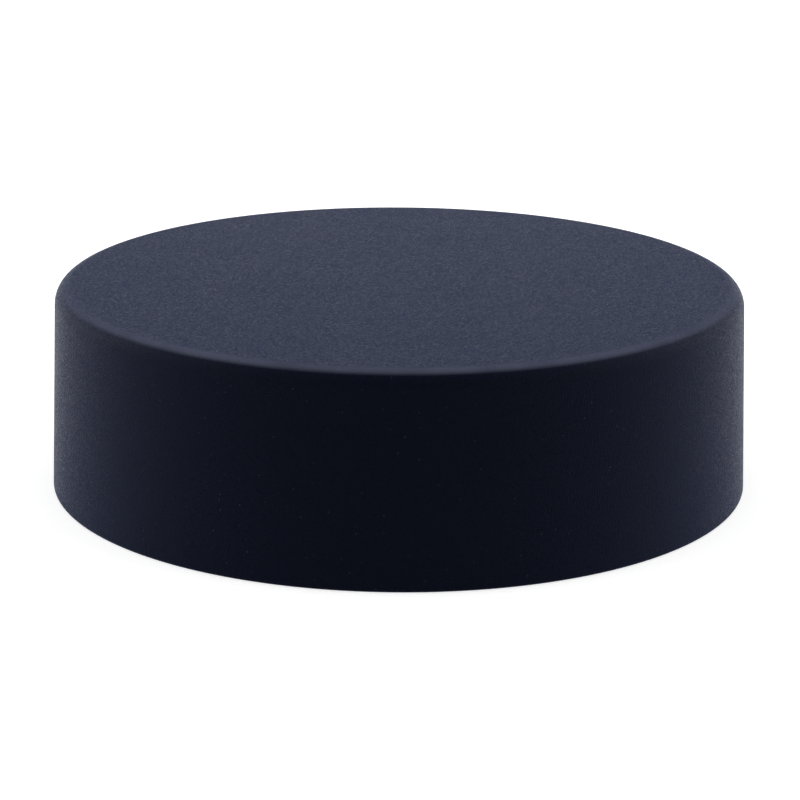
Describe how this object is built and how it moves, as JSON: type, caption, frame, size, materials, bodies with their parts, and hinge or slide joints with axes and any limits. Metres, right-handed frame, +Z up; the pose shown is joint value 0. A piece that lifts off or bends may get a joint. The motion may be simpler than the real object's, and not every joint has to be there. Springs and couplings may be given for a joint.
{
  "type": "child-resistant cap",
  "caption": "Push-down-and-turn closure for a wide-mouth jar: a smooth outer cover spins freely on a threaded inner cap and drives it only when pushed down. A foam disc seals.",
  "frame": {"origin": "centre of the outer cover's bottom rim, on the surface that the cap stands on", "axes": "+Z up along the thread's axis, out of the flat top; X and Y are level, with the lower end of the thread at +X"},
  "size_m": [0.0592, 0.0592, 0.0173],
  "materials": {
    "outer_plastic": "blue-black polypropylene with a fine matt, soft-touch face",
    "inner_plastic": "plain black polypropylene, satin from the mould",
    "liner_foam": "white closed-cell polyethylene foam"
  },
  "bodies": {
    "outer_shell": {"outer_shell": "outer_plastic"},
    "liner": {"liner": "liner_foam"},
    "inner_cap": {"inner_cap": "inner_plastic"}
  },
  "joints": [
    {"name": "push", "type": "slide", "parent": "outer_shell", "child": "liner", "axis": [0, 0, 1], "range_m": [0, 0.0018]},
    {"name": "turn", "type": "hinge", "parent": "liner", "child": "inner_cap", "pos_m": [0, 0, 0], "axis": [0, 0, 1], "continuous": true}
  ]
}
